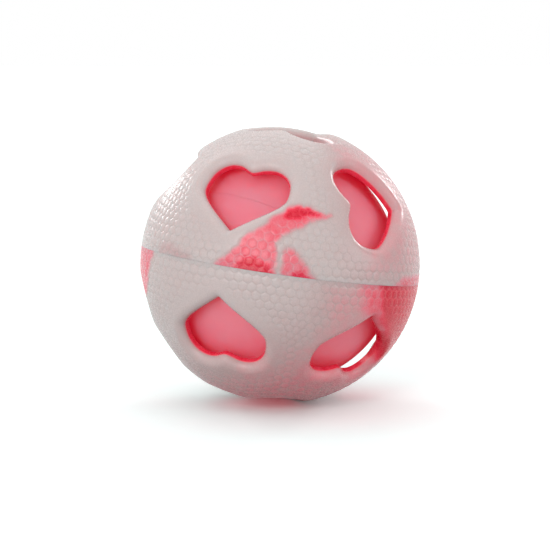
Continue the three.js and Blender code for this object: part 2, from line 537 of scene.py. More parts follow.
PATCHES = {
    HalfSide.UPPER: (
        # The splash that climbs from the seam past the upper left heart, and a small one beside it
        PigmentAndPaintedShadePatch((
            (-28.6, -1), (-24.7, 3.9), (-19.9, 9.3), (-16, 14.4), (-11, 18.2), (-8.8, 21.7), (-2.4, 25.6),
            (-0.6, 28.3), (2.5, 29.5), (7.6, 28.9), (12.8, 27.3), (19, 26.4), (11.5, 23.3), (6.4, 20.6),
            (2, 18.4), (-2, 15), (-3.8, 12.3), (-3.5, 7.5), (-2, -1),
        ), 0.5, 1.8),
        PigmentAndPaintedShadePatch((
            (0, -1), (-1.3, 9), (1.2, 11.6), (4.2, 10.2), (7.6, 6.2), (11.3, 2.7), (15.5, -1),
        ), 0.44, 1.8),
        # Deeper red at the foot of the splash, along its upper end and at the foot of the small one
        PigmentAndPaintedShadePatch(((-20, -1), (-16, 4.5), (-11.2, 5.2), (-6, 3), (-3.5, -1)), 0.5, 1.6),
        PigmentAndPaintedShadePatch(((-1.8, 22.5), (-1.2, 26.4), (4, 28.4), (13.5, 26.5), (4.4, 24)), 0.5, 1.4),
        PigmentAndPaintedShadePatch(((4, -1), (5.3, 2), (8.5, 2), (13, -1)), 0.45, 1.2),
        # Stains along the seam on the left and on the right, and a haze over the upper right, partly
        # pigment and partly painted reddish shade of the ball's shaded right side
        PigmentAndPaintedShadePatch(((-60, 4.5), (-52, 4.6), (-40, 2), (-40, -1), (-60, -1)), 0.16, 2.0),
        PigmentAndPaintedShadePatch(((52, -1), (60, 3), (78, 4), (88, 2), (96, 5), (104, 1), (108, -1)), 0.4, 2.0),
        PigmentAndPaintedShadePatch(((28, 72), (22, 45), (28, 14), (32, -2), (112, -2), (112, 72)), 0.22, 14.0),
        # Behind: a splash with a deeper foot, and a streak near the top
        PigmentAndPaintedShadePatch((
            (118, -1), (124, 5), (133, 9), (140, 17), (150, 22), (158, 21), (150, 16), (144, 8), (152, 3),
            (160, -2),
        ), 0.5, 1.3),
        PigmentAndPaintedShadePatch(((122, 3), (134, 6), (146, 1), (140, -4), (121, -4)), 0.4, 2.4),
        PigmentAndPaintedShadePatch(((-160, 52), (-130, 50), (-118, 44), (-108, 48), (-128, 58), (-150, 61)), 0.5, 2.0),
    ),
    HalfSide.LOWER: (
        # The large patch under the seam on the right, its deeper top, and a haze and a border on its left
        PigmentAndPaintedShadePatch((
            (45.6, 2), (48, -6), (52, -12.5), (60, -18.5), (65, -26), (71, -34), (77, -31), (80, -23),
            (87, -19), (88, -12), (95, -9), (97, -3), (106, 2),
        ), 0.88, 4.0),
        PigmentAndPaintedShadePatch(((49, 2), (51, -6), (58, -10), (68, -9), (72, 2)), 0.2, 4.0),
        PigmentAndPaintedShadePatch(((14, 2), (17, -12), (28, -16), (44, -6), (44, 2)), 0.12, 9.0),
        PigmentAndPaintedShadePatch(((34, 2), (37, -6.5), (42, -14), (50, -20), (58, -18), (54, 2)), 0.3, 5.5),
        # Red beside the lower right heart, a patch at the left limb, and a haze over the underside that is
        # painted reddish shade
        PigmentAndPaintedShadePatch(((50, -19.5), (54, -26), (60, -29), (66, -26), (58, -20.5)), 0.6, 1.6),
        PigmentAndPaintedShadePatch((
            (-108, 4), (-62, 4), (-67, -4.8), (-68.5, -10), (-73, -17), (-78, -21), (-81, -13), (-87, -12),
            (-90, -5), (-98, -3),
        ), 0.5, 2.2),
        PigmentAndPaintedShadePatch((
            (-80, -58), (-30, -52), (0, -38), (18, -24), (36, -8), (60, 4), (130, 4), (130, -85),
            (-80, -85),
        ), 0.32, 26.0),
        # Behind: a splash with a deeper top, and a spot on the underside
        PigmentAndPaintedShadePatch((
            (-168, 3), (-160, -8), (-150, -14), (-146, -26), (-138, -20), (-136, -8), (-128, 3),
        ), 0.55, 1.6),
        PigmentAndPaintedShadePatch(((-164, 3), (-156, -6), (-146, -6), (-138, 3)), 0.35, 2.6),
        PigmentAndPaintedShadePatch(((150, -50), (170, -56), (188, -50), (176, -44)), 0.45, 2.4),
    ),
}

# Waves that make the patches' edges wander: height in degrees, waves in a turn, and start
SIDEWAYS_WAVES = ((0.35, 31, 40), (0.25, 67, 0))
UPWARD_WAVES = ((0.25, 29, 0), (0.2, 71, 20))


def wander(along: np.ndarray, waves: tuple[Wave, ...]) -> np.ndarray:
    """Sum of sine waves: height * sin(along * rate + start) for each wave.

    Args:
        along: degrees, one for each point.
        waves: height, rate and start of each wave, in degrees.

    Returns:
        Array of degrees, one for each point.
    """
    return sum(height * np.sin(np.radians(along * rate + start)) for height, rate, start in waves)


@dataclass
class ShellHalf:
    """One rubber half-ball of the shell, pierced with hearts. Millimetres and degrees.

    Each heart owns the part of the half-ball that is nearer to its centre than to another heart's.
    That part is a grid: round the heart by the angle, and outwards along rays from the heart's lip to
    the part's border. The same rays carry the lip, the throat and the inside of the wall.
    """

    side: HalfSide
    centre: np.ndarray
    heart: HeartOpening = HeartOpening()
    relief: HexagonRelief = HexagonRelief()

    # Sizes of the wall and of the lapped seam
    diameter: float = 85.0
    facet_room: float = 0.085
    wall: float = 4.0
    lap_height: float = 2.6
    bond_gap: float = 0.3
    seam_gap: float = 0.01
    seam_edge: float = 0.07
    seam_margin: float = 0.4

    # Places of the hearts, the turn of the lower half and the lean of the ball
    heart_turns: tuple[float, ...] = (0.0, 90.0, 0.0, -90.0, 0.0)
    upper_latitude: float = 30.8
    lower_latitude: float = 29.4
    sideways_rise: float = 3.6
    first_longitude: float = -25.4
    polar_turn: float = 153.0
    lower_turn: float = 128.4
    lean_right: float = 8.0
    lean_back: float = 5.6

    # Pigment: its limit, and painted red light in the hearts' throats and on the wall's inside, for the red
    # light that the inner ball throws there, fainter at the poles
    most_pigment: float = 1.2
    throat_painted_red_light: float = 0.85
    painted_red_light_start: float = 0.5
    painted_red_light_end: float = 0.68
    polar_sine: float = 0.92
    polar_fade: float = 0.04
    polar_painted_light_loss: float = 0.8

    # Facets, the distance written where there is no outside, and the turn of a sharp edge
    seam_steps: int = 96
    side_steps: int = 74
    polar_steps: int = 46
    outer_rows: int = 36
    lip_rows: int = 7
    edge_rows: int = 3
    inner_rows: int = 4
    corner_rows: int = 4
    not_outside: float = -9.0
    sharp_degrees: float = 70.0

    @property
    def outside(self) -> float:
        """Radius over the tops of the cells, just inside the facets of the solid."""
        return self.diameter / 2 - self.facet_room

    @property
    def inside(self) -> float:
        """Radius of the hollow."""
        return self.diameter / 2 - self.wall

    @property
    def seam_top(self) -> float:
        """Height above the seam plane at which the rounded edge of the seam ends."""
        return self.seam_gap / 2 + self.seam_edge

    @property
    def lap(self) -> tuple[float, float]:
        """Radius of the seam's step and height of the lap's end; the lower half has the tongue."""
        tongued = self.side is HalfSide.LOWER
        return lap_step(self.diameter / 2, self.wall, self.lap_height, self.bond_gap, tongued)

    @property
    def name(self) -> str:
        """The piece's name."""
        return f"{self.side.value}_shell_rubber"

    def own_turn(self) -> np.ndarray:
        """Turns the moulding, dome up, to its place: the lower half is the same one turned over.

        Returns:
            Rotation matrix.
        """
        if self.side is HalfSide.UPPER:
            return np.eye(3)
        return turn_z(self.lower_turn) @ turn_x(180)

    def shell_turn(self) -> np.ndarray:
        """Leans the ball as it lies on the table."""
        return turn_y(self.lean_right) @ turn_x(-self.lean_back)

    def heart_frames(self) -> np.ndarray:
        """Right, up and outward directions of each heart as matrix columns.

        Returns:
            Array (hearts, 3, 3), the polar heart first and then the ring eastwards.
        """
        frames = [turn_z(self.polar_turn)]
        ring_latitude = self.upper_latitude if self.side is HalfSide.UPPER else self.lower_latitude
        for number, turn in enumerate(self.heart_turns):
            latitude = ring_latitude + (0.0 if turn == 0 else self.sideways_rise)
            longitude = self.first_longitude + number * 360 / len(self.heart_turns)
            frames.append(turn_z(longitude) @ turn_x(90 - latitude) @ turn_z(turn))
        return np.array(frames)

    def borders(self, rim_height: float, radius: float) -> tuple[list[np.ndarray], np.ndarray]:
        """Border of each heart's part as a loop of directions, the part's heart on its left.

        The borders are arcs at equal angle from two hearts: up from the rim to the polar part, then
        round the polar part, and along the rim itself.

        Args:
            rim_height: height of the rim above the seam plane.
            radius: radius at which the rim has that height.

        Returns:
            One loop (n, 3) for each heart, the polar heart first, and the loop along the rim.
        """
        centres = self.heart_frames()[:, :, 2]
        pole, ring = centres[0], centres[1:]
        after = np.roll(ring, -1, axis=0)
        upright = np.array([0.0, 0.0, 1.0])
        tops = unit(np.cross(pole - ring, ring - after))
        tops *= np.sign(tops @ pole)[:, None]
        level = unit(np.cross(ring - after, upright))
        level *= np.sign(np.sum(level * ring, axis=1))[:, None]
        rise = unit(np.cross(level, ring - after))
        rise *= np.sign(rise[:, 2])[:, None]
        lift = np.arcsin(rim_height / radius / rise[:, 2])[:, None]
        feet = np.cos(lift) * level + np.sin(lift) * rise
        count = len(self.heart_turns)
        climbs = [great_arc(feet[k], tops[k], self.side_steps) for k in range(count)]
        crests = [great_arc(tops[k - 1], tops[k], self.polar_steps) for k in range(count)]
        rims = [self.rim_arc(feet[k - 1], feet[k], rim_height / radius) for k in range(count)]
        loops = [np.vstack([crests[(k + 1) % count] for k in range(count)])]
        for k in range(count):
            down = np.vstack([climbs[k - 1][1:], tops[k - 1][None]])[::-1]
            back = np.vstack([crests[k][1:], tops[k][None]])[::-1]
            loops.append(np.vstack([rims[k], climbs[k], back, down]))
        return loops, np.vstack(rims)

    def rim_arc(self, start: np.ndarray, end: np.ndarray, sine: float) -> np.ndarray:
        """Directions at one latitude from start eastwards to end, the end itself left out.

        Args:
            start: direction where the arc begins.
            end: direction where the arc would end.
            sine: sine of the latitude.

        Returns:
            Array (seam_steps, 3).
        """
        first = math.atan2(start[1], start[0])
        sweep = (math.atan2(end[1], end[0]) - first) % (2 * math.pi)
        angle = first + sweep * np.arange(self.seam_steps) / self.seam_steps
        flat = math.sqrt(1 - sine**2)
        arc = np.stack([flat * np.cos(angle), flat * np.sin(angle), np.full(self.seam_steps, sine)], axis=1)
        arc[0] = start
        return arc

    def part(self, heart_frame: np.ndarray, outer: np.ndarray, inner: np.ndarray) -> Surface:
        """The grid that belongs to one heart, from its outer border over the lip to its inner border.

        A ray leaves the heart's centre c in direction e; a point on it at angle a is cos a c + sin a e,
        times the radius there. Over the lips the radius follows a quarter round.

        Args:
            heart_frame: right, up and outward directions of the heart.
            outer: border loop on the outside.
            inner: border loop on the inside, as many directions as outer.

        Returns:
            The surface in the moulding's frame, with the distance from the lip and the share of the
            way through the hole as values.
        """
        local = outer @ heart_frame
        angle = np.arctan2(local[:, 1], local[:, 0])
        border = np.arccos(np.clip(local[:, 2], -1.0, 1.0))
        spread = np.stack([np.cos(angle), np.sin(angle), np.zeros_like(angle)], axis=1) @ heart_frame.T
        lip, edge = self.heart.lip_radius, self.heart.inner_edge
        over = np.linspace(0.0, math.pi / 2, self.lip_rows + 1)
        under = np.linspace(math.pi / 2, 0.0, self.edge_rows + 1)
        grow = np.concatenate([lip * (1 - np.sin(over)), edge * (1 - np.sin(under))])
        depth = np.concatenate([
            self.outside - lip * (1 - np.cos(over)), self.inside + edge * (1 - np.cos(under))
        ])
        opened = self.heart.reach(angle, grow) / (self.diameter / 2)
        share = np.arange(self.outer_rows)[:, None] / self.outer_rows
        opening = np.vstack([border + (opened[0] - border) * share, opened])
        radius = np.concatenate([np.full(self.outer_rows, self.outside), depth])
        rays = np.cos(opening)[:, :, None] * heart_frame[:, 2] + np.sin(opening)[:, :, None] * spread
        rays[0] = outer
        across = np.arange(1, self.inner_rows + 1)[:, None, None] / self.inner_rows
        inward = unit((1 - across) * rays[-1] + across * inner)
        inward[-1] = inner
        vertices = np.concatenate([rays * radius[:, None, None], inward * self.inside])
        rows, columns = vertices.shape[:2]
        from_lip = np.full((rows, columns), self.not_outside)
        from_lip[: len(opening)] = (opening - opened[0]) * self.diameter / 2
        in_hole = np.concatenate([
            np.zeros(self.outer_rows), np.linspace(0, 1, len(depth)), np.ones(self.inner_rows)
        ])
        values = {"from_lip": from_lip.ravel(), "hole": np.repeat(in_hole, columns)}
        return Surface(vertices.reshape(-1, 3), grid_faces(rows, columns), values)

    def rim(self, outer: np.ndarray, inner: np.ndarray) -> Surface:
        """The edge of the half-ball: a rounded outer corner and the step of the lapped seam.

        The profile is carried round the rim; its radius and height go from the outer border to the
        inner one, and its longitude goes with its share of the way.

        Args:
            outer: loop along the rim outside.
            inner: loop along the rim inside.

        Returns:
            The surface in the moulding's frame.
        """
        half_gap = self.seam_gap / 2
        lap_radius, lap_end = self.lap
        turn = np.linspace(0.0, math.pi / 2, self.corner_rows + 1)[1:]
        start = math.sqrt(self.outside**2 - self.seam_top**2)
        corner = np.stack([start - self.seam_edge * (1 - np.cos(turn)),
                           half_gap + self.seam_edge * (1 - np.sin(turn))], axis=1)
        profile = np.vstack([corner, [[lap_radius, half_gap], [lap_radius, lap_end]]])
        first, last = np.arctan2(outer[:, 1], outer[:, 0]), np.arctan2(inner[:, 1], inner[:, 0])
        drift = (last - first + math.pi) % (2 * math.pi) - math.pi
        share = np.arange(1, len(profile) + 1)[:, None] / (len(profile) + 1)
        angle = first + drift * share
        middle = np.stack([profile[:, :1] * np.cos(angle), profile[:, :1] * np.sin(angle),
                           np.broadcast_to(profile[:, 1:], angle.shape)], axis=-1)
        vertices = np.concatenate([outer[None] * self.outside, middle, inner[None] * self.inside])
        rows, columns = vertices.shape[:2]
        values = {"from_lip": np.full(rows * columns, self.not_outside), "hole": np.zeros(rows * columns)}
        return Surface(vertices.reshape(-1, 3), grid_faces(rows, columns)[:, ::-1], values)

    def surface(self) -> Surface:
        """The whole half-ball, relief and lap included.

        Returns:
            The surface in the moulding's frame, closed.
        """
        _, lap_end = self.lap
        outer_loops, outer_rim = self.borders(self.seam_top, self.outside)
        inner_loops, inner_rim = self.borders(lap_end, self.inside)
        parts = [self.part(*each) for each in zip(self.heart_frames(), outer_loops, inner_loops)]
        parts.append(self.rim(outer_rim, inner_rim))
        starts = np.cumsum([0] + [len(each.vertices) for each in parts])
        vertices = np.vstack([each.vertices for each in parts])
        quads = np.vstack([each.quads + start for each, start in zip(parts, starts)])
        values = {name: np.concatenate([each.values[name] for each in parts]) for name in parts[0].values}
        return self.embossed(Surface(vertices, quads, values).welded())

    def embossed(self, smooth: Surface) -> Surface:
        """Sinks the grooves of the hexagon relief into the outside, leaving the margins plain.

        The throats of the hearts and the inside of the wall are painted red, painted light for the red
        light that the inner ball throws there, and those of the polar hearts only faintly.

        Args:
            smooth: the half-ball without relief.

        Returns:
            The half-ball with relief, with the values figured and pigment, and with the place in the
            lattice of cells at the quads' corners.
        """
        directions = unit(smooth.vertices)
        from_lip = smooth.values["from_lip"]
        above_seam = smooth.vertices[:, 2] - self.seam_top
        past_margin = smooth_step(self.relief.margin_start, self.relief.margin_end, from_lip)
        figured = past_margin * smooth_step(0.0, self.seam_margin, above_seam)
        raised = figured > 0
        height = np.ones(len(directions))
        height[raised] = self.relief.height(directions[raised], self.diameter / 2)
        sunk = (1 - height) * figured * self.relief.depth
        vertices = smooth.vertices - directions * sunk[:, None]
        # Painted red light: the throats and the wall's inside take red for light thrown by the inner ball,
        # faint at the poles; it joins the pigment value
        low, high = self.polar_sine - self.polar_fade, self.polar_sine + self.polar_fade
        ring = 1 - self.polar_painted_light_loss * smooth_step(low, high, directions[:, 2])
        throat = ring * smooth_step(self.painted_red_light_start, self.painted_red_light_end, smooth.values["hole"])
        pigment = np.maximum(self.pigment(directions), self.throat_painted_red_light * throat)
        values = {"figured": figured, "pigment": pigment}
        lattice = {"lattice": self.relief.lattice(directions[smooth.quads])}
        return Surface(vertices, smooth.quads, values, lattice)

    def pigment(self, directions: np.ndarray) -> np.ndarray:
        """Share of red in the rubber, from the patches on this half: pigment, and painted reddish shade in
        the broad hazes.

        Args:
            directions: unit vectors in the moulding's frame.

        Returns:
            Array of shares; patches add up and may pass 1.
        """
        placed = directions @ self.own_turn().T
        longitude = np.degrees(np.arctan2(placed[:, 0], -placed[:, 1]))
        latitude = np.degrees(np.arcsin(np.clip(placed[:, 2], -1.0, 1.0)))
        longitude = longitude + wander(latitude, SIDEWAYS_WAVES)
        latitude = latitude + wander(longitude, UPWARD_WAVES)
        total = np.zeros(len(directions))
        for patch in PATCHES[self.side]:
            total += patch.value(longitude, latitude)
        return np.clip(total, 0.0, self.most_pigment)

    def build(self) -> bpy.types.Object:
        """Makes the piece, in place of its solid, riding on the shell.

        Returns:
            The piece.
        """
        placed = self.surface().moved(self.shell_turn() @ self.own_turn(), self.centre)
        piece = placed.to_object(self.name, self.sharp_degrees)
        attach(piece, "shell")
        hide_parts(f"{self.side.value}_shell")
        return piece

    def dress(self, piece: bpy.types.Object, finish: "MarbledRubber") -> None:
        """Gives the piece its rubber."""
        piece.data.materials.append(finish.material())


@dataclass
class InnerBall:
    """The loose inner ball with its squeaker, in millimetres and degrees, port at its own upper pole."""

    centre: np.ndarray

    # Sizes of the ball, its lapped seam and its port
    radius: float = 35.7
    wall: float = 2.4
    lap_height: float = 2.0
    bond_gap: float = 0.3
    seam_gap: float = 0.02
    seam_edge: float = 0.06
    tilt: float = 45.0
    heading: float = 50.0
    fit_gap: float = 0.3
    collar_wall: float = 2.2
    collar_length: float = 9.0

    # Sizes of the squeaker's housing
    housing_radius: float = 6.5
    housing_length: float = 16.0
    housing_wall: float = 1.2
    flange_radius: float = 9.0
    flange_thickness: float = 2.0
    reed_seat_radius: float = 3.4
    reed_seat_length: float = 8.0

    # Sizes of the reed plug and the reed
    plug_recess: float = 0.8
    plug_chamfer: float = 0.25
    trough_length: float = 12.5
    trough_end_wall: float = 1.0
    channel_width: float = 2.6
    channel_depth: float = 1.7
    channel_margin: float = 0.1
    channel_slope: float = 0.15
    channel_edge: float = 0.06
    end_margin: float = 0.05
    end_slope: float = 0.1
    wedge_length: float = 3.2
    reed_thickness: float = 0.3
    reed_width: float = 4.4
    reed_overhang: float = 0.5
    reed_squareness: float = 5.0
    reed_fullness: float = 1.2

    # Fillets of the profiles, and the room that arcs leave for them
    lap_fillet: float = 0.15
    lap_root: float = 0.1
    lap_room: float = 0.3
    collar_fillets: tuple[float, ...] = (0.3, 0.5, 0.6)
    mouth_fillets: tuple[float, ...] = (0.35, 0.15, 0.2)
    mouth_room: float = 0.5
    flange_fillets: tuple[float, ...] = (0.25, 0.4, 0.3, 0.3, 0.35)
    flange_room: float = 0.15
    seat_fillets: tuple[float, ...] = (0.35, 0.2, 0.3)
    seat_room: float = 0.12

    # Facets, and the turn of a sharp edge
    ball_steps: int = 160
    squeaker_steps: int = 72
    dome_steps: int = 60
    hollow_steps: int = 40
    face_steps: int = 12
    bow_steps: int = 32
    reed_steps: int = 40
    sharp: float = 40.0
    film_sharp: float = 50.0

    @property
    def turn(self) -> np.ndarray:
        """Rolls the ball to where its port points up and back."""
        return turn_z(self.heading) @ turn_y(self.tilt)

    @property
    def inside(self) -> float:
        """Radius of the hollow."""
        return self.radius - self.wall

    @property
    def seam_top(self) -> float:
        """Height above the seam plane at which the rounded edge of the seam ends."""
        return self.seam_gap / 2 + self.seam_edge

    @property
    def plug_top(self) -> float:
        """Height of the reed plug's outer end above the ball's centre."""
        return self.radius - self.plug_recess

    def lap(self, tongued: bool) -> tuple[float, float]:
        """Radius of the seam's step and height of the lap's end, on a tongue or on a ledge."""
        return lap_step(self.radius, self.wall, self.lap_height, self.bond_gap, tongued)

    def rim_corners(self, tongued: bool) -> list[Corner]:
        """Profile corners of the lapped seam.

        Args:
            tongued: whether the half has the tongue or the ledge.

        Returns:
            Corners from the hollow to the outside.
        """
        lap_radius, lap_end = self.lap(tongued)
        half_gap = self.seam_gap / 2
        return [
            (math.sqrt(self.inside**2 - lap_end**2), lap_end, self.lap_fillet),
            (lap_radius, lap_end, self.lap_fillet),
            (lap_radius, half_gap, self.lap_root),
            (math.sqrt(self.radius**2 - half_gap**2), half_gap, self.seam_edge),
        ]

    def plain_half(self) -> Surface:
        """The half without the port: a turned profile that starts and ends on the axis.

        Returns:
            The half in the ball's frame, dome up.
        """
        _, lap_end = self.lap(True)
        corners = ball_arc(self.inside, self.inside, lap_end + self.lap_room, self.dome_steps)
        corners += self.rim_corners(True)
        corners += ball_arc(self.radius, self.seam_top, self.radius, self.dome_steps)
        return lathe(rounded(corners), self.ball_steps, closed=False)

    def ported_half(self) -> Surface:
        """The half with the port: a closed profile through the wall, the seam and the collar.

        Returns:
            The half in the ball's frame, dome up.
        """
        _, lap_end = self.lap(False)
        bore = self.housing_radius + self.fit_gap
        collar = bore + self.collar_wall
        recess = self.flange_radius + self.fit_gap
        seat = self.radius - self.flange_thickness - self.fit_gap
        collar_end = self.radius - self.collar_length
        under = math.sqrt(self.inside**2 - collar**2)
        mouth = math.sqrt(self.radius**2 - recess**2)
        corners = filleted([(bore, collar_end), (collar, collar_end), (collar, under)], self.collar_fillets)
        hollow_top = under - self.collar_fillets[-1]
        corners += ball_arc(self.inside, hollow_top, lap_end + self.lap_room, self.hollow_steps)
        corners += self.rim_corners(False)
        corners += ball_arc(self.radius, self.seam_top, mouth - self.mouth_room, self.dome_steps)
        corners += filleted([(recess, mouth), (recess, seat), (bore, seat)], self.mouth_fillets)
        return lathe(rounded(corners), self.ball_steps, closed=True)

    def housing(self) -> Surface:
        """The squeaker's flanged housing: a closed profile turned about the port's axis.

        Returns:
            The housing in the ball's frame.
        """
        face = self.radius - self.fit_gap
        under = self.radius - self.flange_thickness
        seat_end = self.radius - self.reed_seat_length
        end = self.radius - self.housing_length
        chamber = self.housing_radius - self.housing_wall
        crown = math.sqrt(face**2 - self.reed_seat_radius**2)
        edge = math.sqrt(face**2 - self.flange_radius**2)
        tube = [(chamber, end), (self.housing_radius, end), (self.housing_radius, under)]
        flange = [(self.flange_radius, under), (self.flange_radius, edge)]
        reed_seat = [(self.reed_seat_radius, crown), (self.reed_seat_radius, seat_end), (chamber, seat_end)]
        corners = filleted(tube + flange, self.flange_fillets)
        corners += ball_arc(face, edge + self.flange_room, crown - self.seat_room, self.face_steps)
        corners += filleted(reed_seat, self.seat_fillets)
        return lathe(rounded(corners), self.squeaker_steps, closed=True)

    def stick(self, length: float, side: int, channel: bool) -> Surface:
        """One half of the reed plug: a half-round section carried along the squeaker's axis.

        The section's flat faces the reed; where there is a channel, the middle of the flat lies deeper,
        except over the wall that closes the channel at its inner end. The ends are drawn in a little.

        Args:
            length: length of the stick.
            side: 1 above the reed, -1 below it.
            channel: whether the flat has the air channel.

        Returns:
            The stick in the ball's frame.
        """
        radius = self.reed_seat_radius - self.fit_gap
        face = self.reed_thickness / 2 + self.fit_gap
        cut = math.asin(face / radius)
        bow = np.linspace(cut, math.pi - cut, self.bow_steps + 1)
        half = math.sqrt(radius**2 - face**2)
        middle = self.channel_width / 2
        chamfer = self.plug_chamfer
        # The flat from its left edge into the channel, with the share of the channel's depth, then mirrored
        left = np.array([
            -half + chamfer, -middle - self.channel_margin, -middle, -middle + self.channel_slope
        ])
        fall = np.array([0.0, 0.0, self.channel_edge, 1.0])
        x = np.concatenate([radius * np.cos(bow), left, -left[::-1]])
        y = np.concatenate([radius * np.sin(bow), np.full(2 * len(left), face)])
        deep = np.concatenate([np.zeros(len(bow)), fall, fall[::-1]]) * self.channel_depth
        top, bottom = self.plug_top, self.plug_top - length
        closed = bottom + self.trough_end_wall
        # Stations along the stick: height, how far the section is drawn in, and whether the channel is open
        height = np.array([
            bottom, bottom, bottom + chamfer, closed - self.end_margin,
            closed + self.end_slope, top - chamfer, top, top,
        ])
        drawn = np.array([0.0, 0.9, 1.0, 1.0, 1.0, 1.0, 0.93, 0.0])[:, None]
        opened = np.array([0.0, 0.0, 0.0, 0.0, 1.0, 1.0, 1.0, 0.0])[:, None] * channel
        core = 0.5 * (face + radius)
        place_x = x * drawn
        place_y = core + (y + opened * deep - core) * drawn
        place_z = np.broadcast_to(height[:, None], place_x.shape)
        vertices = np.stack([place_x * side, place_y * side, place_z], axis=-1)
        return Surface(vertices.reshape(-1, 3), grid_faces(len(height), len(x))).welded()

    def reed(self) -> Surface:
        """The reed: a thin strip with rounded edges, its section carried along the squeaker's axis.

        The section is |x / a|^n + |y / b|^n = 1, with n the squareness.

        Returns:
            The reed in the ball's frame.
        """
        length = self.trough_length - self.reed_overhang
        angle = np.linspace(0.0, 2 * math.pi, self.reed_steps, endpoint=False)
        power = 2 / self.reed_squareness
        across = np.sign(np.cos(angle)) * np.abs(np.cos(angle)) ** power * self.reed_width / 2
        thick = np.sign(np.sin(angle)) * np.abs(np.sin(angle)) ** power * self.reed_thickness / 2
        # Stations along the reed: how far below the plug's outer end, and how far the section is drawn in
        tip = [length - 1.2, length - 0.4, length - 0.08, length, length]
        drop = np.array([0.0, 0.0, 0.08, 0.3, length / 2, *tip])
        drawn = np.array([0.0, 0.8, 0.95, 1.0, 1.0, 1.0, 0.93, 0.8, 0.62, 0.0])[:, None]
        thinned = np.minimum(drawn * self.reed_fullness, 1.0)
        height = np.broadcast_to((self.plug_top - drop)[:, None], (len(drop), len(angle)))
        vertices = np.stack([across * drawn, thick * thinned, height], axis=-1)
        return Surface(vertices.reshape(-1, 3), grid_faces(len(drop), len(angle))[:, ::-1]).welded()

    def place(self, surface: Surface, body: str, node: str, kind: str, slot: Slot) -> bpy.types.Object:
        """Carries a surface from the ball's frame to its place and makes it a piece.

        Args:
            surface: the surface in the ball's frame.
            body: the body that it rides on.
            node: the solid that it stands for.
            kind: what it is, the last word of the piece's name.
            slot: the material slot that it takes its finish from.

        Returns:
            The piece.
        """
        sharp = self.film_sharp if slot is Slot.FILM else self.sharp
        piece = surface.moved(self.turn, self.centre).to_object(f"{node}_{kind}", sharp)
        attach(piece, body)
        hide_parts(node)
        return piece

    def build(self) -> list[tuple[bpy.types.Object, Slot]]:
        """Makes the ball's halves and the squeaker's pieces, in place of their solids.

        Returns:
            Each piece with the slot that it takes its finish from.
        """
        lower = self.plain_half().moved(turn_x(180), np.zeros(3))
        trough = self.stick(self.trough_length, -1, channel=True)
        wedge = self.stick(self.wedge_length, 1, channel=False)
        made = (
            (self.ported_half(), "inner_ball", "inner_ball_upper", "vinyl", Slot.VINYL),
            (lower, "inner_ball", "inner_ball_lower", "vinyl", Slot.VINYL),
            (self.housing(), "inner_ball", "squeaker_housing", "moulding", Slot.PLASTIC),
            (trough, "inner_ball", "reed_trough", "moulding", Slot.PLASTIC),
            (wedge, "inner_ball", "reed_wedge", "moulding", Slot.PLASTIC),
            (self.reed(), "reed", "reed", "strip", Slot.FILM),
        )
        return [(self.place(*each), each[-1]) for each in made]

    def dress(self, pieces: list[tuple[bpy.types.Object, Slot]], finishes: dict[Slot, "Finish"]) -> None:
        """Gives each piece the finish of its slot."""
        for piece, slot in pieces:
            piece.data.materials.append(finishes[slot].material())


def srgb(red: float, green: float, blue: float) -> Colour:
    """A colour as it is written for a screen, as linear light with full alpha.

    Args:
        red: 0 to 255.
        green: 0 to 255.
        blue: 0 to 255.

    Returns:
        The linear colour.
    """
    def linear(value: float) -> float:
        """One channel: s / 12.92 in the dark and ((s + 0.055) / 1.055)^2.4 above it."""
        share = value / 255
        return share / 12.92 if share <= 0.04045 else ((share + 0.055) / 1.055) ** 2.4

    return linear(red), linear(green), linear(blue), 1.0


class NodeBench:
    """Adds and joins shader nodes in one node tree."""

    # Places of the share, the two colours and the mixed colour among a Mix node's sockets
    MIX_INPUTS = (0, 6, 7)
    MIX_RESULT = 2

    def __init__(self, tree: bpy.types.NodeTree) -> None:
        """Works on the given tree."""
        self.tree = tree

    def add(self, kind: str, **settings: object) -> bpy.types.Node:
        """Adds a node and sets its properties, or its input sockets where the name is a socket's.

        Args:
            kind: the node's type name.
            settings: property or socket names with their values; spaces are written as underscores.

        Returns:
            The node.
        """
        node = self.tree.nodes.new(kind)
        for name, value in settings.items():
            socket = node.inputs.get(name.replace("_", " "))
            if socket is not None:
                socket.default_value = value
            else:
                setattr(node, name, value)
        return node

    def join(self, source: bpy.types.NodeSocket, target: bpy.types.NodeSocket) -> None:
        """Links an output to an input."""
        self.tree.links.new(source, target)

    def feed(self, operand: Operand, target: bpy.types.NodeSocket) -> None:
        """Links an input to the operand where that is a socket, and sets it to the operand otherwise.

        Args:
            operand: socket, number, triple or colour.
            target: the input.
        """
        if isinstance(operand, bpy.types.NodeSocket):
            self.join(operand, target)
        else:
            target.default_value = operand

    def math(
        self, operation: str, first: Operand, second: Operand, clamp: bool = False
    ) -> bpy.types.NodeSocket:
        """Adds a Math node whose operands are sockets or numbers.

        Args:
            operation: the node's operation.
            first: socket or number.
            second: socket or number.
            clamp: whether the result is held between 0 and 1.

        Returns:
            The result's socket.
        """
        node = self.add("ShaderNodeMath", operation=operation, use_clamp=clamp)
        for socket, operand in zip(node.inputs, (first, second)):
            self.feed(operand, socket)
        return node.outputs[0]

    def vector(self, operation: str, *operands: Operand, result: str = "Vector") -> bpy.types.NodeSocket:
        """Adds a Vector Math node whose operands are sockets or triples.

        Args:
            operation: the node's operation.
            operands: sockets or triples, in the order of the node's inputs.
            result: name of the output that is wanted.

        Returns:
            The result's socket.
        """
        node = self.add("ShaderNodeVectorMath", operation=operation)
        for socket, operand in zip(node.inputs, operands):
            self.feed(operand, socket)
        return node.outputs[result]

    def mix(self, share: Operand, first: Operand, second: Operand) -> bpy.types.NodeSocket:
        """Adds a colour mix whose colours are sockets or values.

        Args:
            share: socket or number, 0 for the first colour.
            first: socket or colour.
            second: socket or colour.

        Returns:
            The mixed colour's socket.
        """
        node = self.add("ShaderNodeMix", data_type="RGBA")
        for place, operand in zip(self.MIX_INPUTS, (share, first, second)):
            self.feed(operand, node.inputs[place])
        return node.outputs[self.MIX_RESULT]


